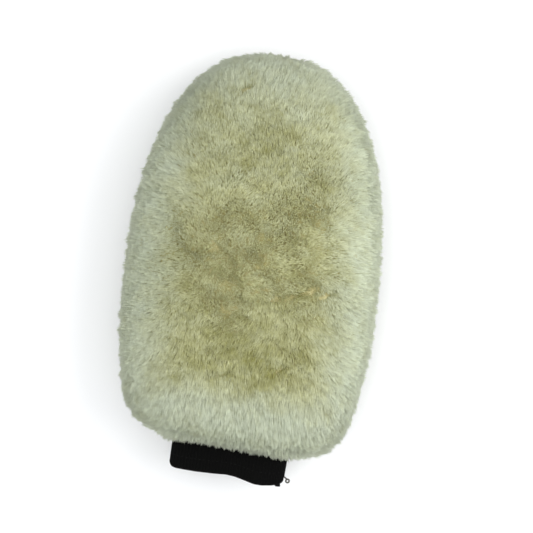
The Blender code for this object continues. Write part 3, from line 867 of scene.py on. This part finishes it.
# ---------------------------------------------------------------- pocket layers
def bag_layer(name, node_name, low_turn, outside, inside, made_of):
    """One face of the hide or of the lining, from its outer and inner grow, lightly creased."""
    rows, columns = 50, 52
    tip = HIDE_TIP + outside
    y = tip + (MOUTH_Y - tip) * (0.5 - 0.5 * np.cos(math.pi * np.linspace(0, 1, rows)))
    turn = low_turn + 0.004 + np.linspace(0, math.pi - 0.008, columns)
    grids = [pocket_grid(np.minimum(y, HIDE_TIP + grow), turn, grow)
             for grow in (inside, outside)]
    crease = drift(grids[0] * (1.0, 0.45, 1.0), 26 * MM, 41)[..., 0]
    crease = 0.10 * MM * crease * np.sin(turn - low_turn) ** 2
    for grid in grids:
        grid[..., 2] += crease
    thing = half_bag(name, askew(grids[0]), askew(grids[1]))
    assign(thing, made_of, node_name, "mitt")


# ---------------------------------------------------------------- cuff
RIBS = 76
RIB_DEPTH = 0.34 * MM
KNIT_THICK = 1.0 * MM
CUFF_WALL = 3.3 * MM
CUFF_START = MOUTH_Y - 0.4 * MM
LEG_ROWS = 18                   # rows of points down each leg of the folded knit
BEND_ROWS = 9                   # and round each fold
ELASTIC_TOP, ELASTIC_FOOT = 0.50, 0.93      # how far down the cuff the elastic runs
STITCH_LINE, STITCH = 0.845, 3.0 * MM       # and the hem's stitches, and their length
HEM_THREAD, OVERLOCK_THREAD = 0.17 * MM, 0.25 * MM      # the threads' radii
BARTACK_THREAD, TAIL_THREAD = 0.27 * MM, 0.50 * MM
OVERLOCK_TURNS, BARTACK_TURNS = 18, 9
CURL = 1.10 * MM

# The hem's y in mm at these places across the cuff, from its left edge at -1 to its right at 1
HEM_PLACES = (-1.0, -0.95, -0.88, -0.74, -0.5, -0.23, 0.0, 0.15, 0.33, 0.50, 0.64, 0.80, 0.92, 1.0)
HEM_DROPS = (-137.0, -138.7, -139.3, -139.5, -139.5, -139.1, -138.3, -138.8, -140.0, -141.2,
             -141.0, -139.8, -138.4, -136.6)


def even_turns(columns, width, rise, fullness):
    """Angles round a superellipse that space columns points evenly along its edge."""
    turn = np.linspace(0, 2 * math.pi, 4001)
    x, z = section(turn, width, rise, fullness)
    walked = np.concatenate([[0], np.cumsum(np.hypot(np.diff(x), np.diff(z)))])
    return np.interp(np.linspace(0, walked[-1], columns + 1)[:-1], walked, turn), walked[-1]


def folded_profile():
    """The knit's wall as a closed loop of (down, in): out and down, round the hem, and back up.

    down runs from 0 at the root to 1 at the hem's centre; past it the two folds are half circles.
    """
    run, level = np.linspace(0, 1, LEG_ROWS), np.zeros(LEG_ROWS)
    bend, hem = np.linspace(0, math.pi, BEND_ROWS + 2)[1:-1], np.ones(BEND_ROWS)
    big, small = CUFF_WALL / 2, CUFF_WALL / 2 - KNIT_THICK
    legs = [(run, level, level),
            (hem, big * np.sin(bend), big * (1 - np.cos(bend))),
            (run[::-1], level, level + CUFF_WALL),
            (run, level, level + CUFF_WALL - KNIT_THICK),
            (hem, small * np.sin(bend), big + small * np.cos(bend)),
            (run[::-1], level, level + KNIT_THICK)]
    return [np.concatenate(part) for part in zip(*legs)]


def cuff_shape(turn, down, inward, past=0.0):
    """Points of the cuff: at angle turn, down its height from 0 to 1, and inward from its face.

    Each ring is a superellipse. Its y runs from CUFF_START to the hem, and past goes beyond it.
    With f as smooth(y), the sides draw in by 0.02 f^2 and go left by 1.1 to 2.3 mm times f, and
    the faces ripple by up to about 1 mm times f.
    """
    x, z = section(turn, CUFF_HALF - inward, CUFF_RISE - inward, CUFF_SECTION)
    level = x / CUFF_HALF
    hem = np.interp(level, HEM_PLACES, HEM_DROPS) * MM + CUFF_WALL / 2
    y = CUFF_START + (hem - CUFF_START) * down - past
    fall = smooth((CUFF_START - y) / (CUFF_START - CUFF_HEM))
    z = z + fall * (0.7 * MM * np.sin(5.0 * level + 0.6) + 0.35 * MM * np.sin(13 * level + 2.0))
    x = x * (1 - 0.02 * fall ** 2) - (1.7 * MM - 0.6 * MM * level) * fall
    return askew(np.stack([x, y, SEAM_Z + z], -1))


def rib_cuff():
    """The cuff's knit: one tube of one-by-one rib, folded double at a hem that wanders.

    The rib at column angle a sinks the face by RIB_DEPTH (1 - |cos(RIBS a / 2)|^0.8).
    """
    columns = RIBS * 6
    turn, around = even_turns(columns, CUFF_HALF, CUFF_RISE, CUFF_SECTION)
    down, past, inward = folded_profile()
    share = np.arange(columns) / columns
    rib = RIB_DEPTH * (1 - np.abs(np.cos(math.pi * RIBS * share)) ** 0.8)
    on_face = np.where(inward < KNIT_THICK * 0.5, 1.0, np.where(
        inward > CUFF_WALL - KNIT_THICK * 0.5, -1.0, 0.0))
    rings = cuff_shape(turn[None], down[:, None], inward[:, None] + rib[None] * on_face[:, None],
                       past[:, None])
    rows = len(down)
    thing = make_mesh("rib_knit_cuff", rings.reshape(-1, 3),
                      grid_corners(rows, columns, True, True))
    walked = np.concatenate([[0], np.cumsum(np.hypot(
        np.diff(np.append(down, down[0])) * (CUFF_START - CUFF_HEM),
        np.diff(np.append(inward, inward[0]))))])
    i, j = np.divmod(np.arange(rows * columns), columns)
    u = np.stack([j, j + 1, j + 1, j], -1) * around / columns
    v = walked[np.stack([i, i, i + 1, i + 1], -1)]
    layer = thing.data.uv_layers.new(name="cloth")
    layer.data.foreach_set("uv", np.stack([u, v], -1).astype(np.float32).ravel())
    outward(thing)
    assign(thing, rib_knit(), "cuff_knit")
    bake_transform(thing)


def cuff_trimmings():
    """The elastic in the fold, the hem's stitches, the side's overlock and the bartack.

    All but the last follow cuff_shape: a band in the fold, a wave that dips through the face once
    a stitch, and a zigzag down the right side. The bartack is a coil, fuller in its middle.
    """
    turn, around = even_turns(220, CUFF_HALF, CUFF_RISE, CUFF_SECTION)
    down = np.linspace(ELASTIC_TOP, ELASTIC_FOOT, 10)
    down = np.concatenate([down, down[::-1]])[:, None]
    inward = np.repeat([1.3 * MM, 2.0 * MM], 10)[:, None]
    assign(ring_solid("elastic_in_hem", cuff_shape(turn[None], down, inward)), BAND,
           "cuff_elastic", "cuff")
    count = 900
    turn, around = even_turns(count, CUFF_HALF, CUFF_RISE, CUFF_SECTION)
    stitches = round(around / STITCH)
    wave = np.cos(2 * math.pi * stitches * np.arange(count) / count)
    inward = 0.45 * MM - 0.42 * MM * np.tanh(2.5 * wave)
    path = cuff_shape(turn, STITCH_LINE, inward)
    assign(tube("hem_stitching", path, HEM_THREAD, 6, closed=True), BLACK_THREAD,
           "cuff_hem_thread", "cuff")
    step = np.linspace(0, 1, 420)
    zigzag = 2 / math.pi * np.arcsin(np.sin(2 * math.pi * OVERLOCK_TURNS * step))
    path = cuff_shape(0.20 * zigzag, 0.24 + 0.72 * step, -0.12 * MM * np.ones(len(step)))
    assign(tube("side_overlock", path, OVERLOCK_THREAD, 8, 2), BLACK_THREAD,
           "cuff_side_seam_thread", "cuff")
    centre = cuff_shape(np.array(0.45), np.array(1.0), np.array(CUFF_WALL / 2),
                        np.array(CUFF_WALL / 2))
    step = np.linspace(0, 1, 260)
    round_it = 2 * math.pi * BARTACK_TURNS * step
    bulge = 0.75 + 0.25 * np.sin(math.pi * step)
    coil = centre + np.stack([3.4 * MM * (step - 0.5), 1.0 * MM * bulge * np.sin(round_it),
                              1.3 * MM * bulge * np.cos(round_it)], -1)
    assign(tube("hem_bartack", coil, BARTACK_THREAD, 8, 2), BLACK_THREAD,
           "cuff_bartack", "cuff")


def thread_tail():
    """The overlock's loose end: plied thread that leaves the side seam and closes in a small curl.

    After a short stalk it goes round a circle of radius CURL, one and a tenth turns.
    """
    start = cuff_shape(np.array(0.0), np.array(0.95), np.array(-0.2 * MM))
    centre = start + np.array([2.5, -2.4, 0.0]) * MM
    run = np.linspace(0, 1, 14)[:-1, None]
    step = np.linspace(0, 1, 60)
    turn = math.radians(118) - 2.2 * math.pi * step
    curl = centre + np.stack([CURL * np.cos(turn), CURL * np.sin(turn), 0.9 * MM * step], -1)
    knee = (start + curl[0]) / 2 + np.array([0.2, 0.1, 0.3]) * MM
    path = np.concatenate([(1 - run) ** 2 * start + 2 * run * (1 - run) * knee
                           + run ** 2 * curl[0], curl])
    thing = tube("overlock_thread_tail", path, TAIL_THREAD, 10, 3, 1.8 * MM)
    assign(thing, GREY_THREAD, "chain_tail")
    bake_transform(thing)


# ---------------------------------------------------------------- assembly
WOOL = fleece()
UNDERWOOL = felted_wool()
HIDE = suede()
LINING = woven("plain_cotton_lining", 0.5 * MM, "#8D8A80", "#BDBAB0", 0.12 * MM,
               {"Roughness": 0.9, "Specular IOR Level": 0.2, "Sheen Weight": 0.1})
BAND = woven("woven_elastic_band", 0.7 * MM, "#17171A", "#2C2C30", 0.15 * MM,
             {"Roughness": 0.6, "Specular IOR Level": 0.35})
PALE_THREAD = sewing_thread("pale_spun_polyester_thread", "#C9C3AC", "#E6E1CC")
BLACK_THREAD = sewing_thread("black_spun_polyester_thread", "#060606", "#0F0F0F")
GREY_THREAD = sewing_thread("grey_spun_polyester_thread", "#3E3C37", "#6A675F")

under_wool("front_under_wool", "front_pile", 0.0)
under_wool("back_under_wool", "back_pile", math.pi)
for side, low_turn in (("front", 0.0), ("back", math.pi)):
    bag_layer(side + "_leather", side + "_hide", low_turn, 0.0, -1.8 * MM, HIDE)
    bag_layer(side + "_pocket_lining", side + "_lining", low_turn, -2.1 * MM, -3.1 * MM, LINING)
cuff_trimmings()
rib_cuff()
thread_tail()

for node_name, thread in (("hide_seam_thread", PALE_THREAD), ("lining_seam_thread", PALE_THREAD),
                          ("lining_tip_tack", PALE_THREAD), ("mouth_seam_thread", BLACK_THREAD)):
    cad_piece = bpy.data.objects[node_name]
    cad_piece.data.materials.clear()
    cad_piece.data.materials.append(thread)

# ---------------------------------------------------------------- fleece
RIM_TURN = 0.60                 # turns this near the seam plane are the rim's
LOW, HIGH = DEPTH * 0.82, DEPTH * 1.12
TOP = (RIM_TURN, math.pi - RIM_TURN)
BOTTOM = (math.pi + RIM_TURN, 2 * math.pi - RIM_TURN)
RIGHT, LEFT = (-RIM_TURN, RIM_TURN), (math.pi - RIM_TURN, math.pi + RIM_TURN)
BODY, MOUTH, ROUND = (0.0, BODY_SHARE), (BODY_SHARE, 1.0), (0.0, 2 * math.pi)
for patch in (("front_wool", 3, 42000, BODY, TOP, 101, 0.85 * MM, 2, LOW),
              ("front_fine_wool", 3, 112000, BODY, TOP, 102, 0.60 * MM, 1, HIGH),
              ("right_wool", 1, 7500, BODY, RIGHT, 103, 0.90 * MM, 3, LOW),
              ("left_wool", 1, 7500, BODY, LEFT, 104, 0.90 * MM, 3, LOW),
              ("right_fine_wool", 1, 31000, BODY, RIGHT, 105, 0.60 * MM, 1, LOW),
              ("left_fine_wool", 1, 31000, BODY, LEFT, 106, 0.60 * MM, 1, LOW),
              ("mouth_wool", 1, 6600, MOUTH, ROUND, 107, 0.90 * MM, 3, LOW),
              ("back_wool", 1, 16000, BODY, BOTTOM, 108, 1.1 * MM, 2, LOW),
              ("back_fine_wool", 1, 31000, BODY, BOTTOM, 109, 0.80 * MM, 1, HIGH)):
    wool_strands(*patch)

# ---------------------------------------------------------------- floor, light and camera
scene = bpy.context.scene
scene.view_settings.view_transform = "Standard"
FLOOR_REACH = 3.0               # the floor is a square of twice this side
floor_corners = np.array([[-1, -1], [1, -1], [1, 1], [-1, 1]]) * FLOOR_REACH
floor = make_mesh("floor", np.pad(floor_corners, ((0, 0), (0, 1)), constant_values=-0.5 * MM),
                  np.arange(4)[None])
paper, _, paper_shader = material("white_paper_floor", {"Base Color": linear("#F4F4F4"),
                                                        "Roughness": 0.9})
floor.data.materials.append(paper)

world = bpy.data.worlds.new("soft_room")
world.use_nodes = True
world.node_tree.nodes["Background"].inputs["Color"].default_value = linear("#F6F8FB")
world.node_tree.nodes["Background"].inputs["Strength"].default_value = 0.96
scene.world = world


def soft_box(name, spot, side, power):
    """A square softbox of the given side, in metres, turned to the mitt."""
    light = bpy.data.lights.new(name, "AREA")
    light.size = side
    light.energy = power
    holder = bpy.data.objects.new(name, light)
    holder.location = spot
    holder.rotation_euler = (-Vector(spot)).to_track_quat("-Z", "Y").to_euler()
    scene.collection.objects.link(holder)


soft_box("key_softbox", (1.15, 0.25, 1.05), 1.2, 11.8)
soft_box("fill_softbox", (-0.3, -0.2, 1.6), 1.2, 8.2)

LEAN = math.radians(6.7)        # the mitt's tip leans this far to the right of the view
VIEW_HEIGHT = 1.2
VIEW_WIDTH = 0.3545             # metres of the seam plane that the view is wide
right = np.array([math.cos(LEAN), math.sin(LEAN)])
up = np.array([-math.sin(LEAN), math.cos(LEAN)])
spot = 9.1 * MM * right + 0.6 * MM * up
lens = bpy.data.cameras.new("camera")
lens.sensor_width = 36.0
lens.lens = 36.0 * (VIEW_HEIGHT - SEAM_Z) / VIEW_WIDTH
camera = bpy.data.objects.new("camera", lens)
camera.location = (*spot, VIEW_HEIGHT)
camera.rotation_euler = (0.0, 0.0, LEAN)
scene.collection.objects.link(camera)
scene.camera = camera
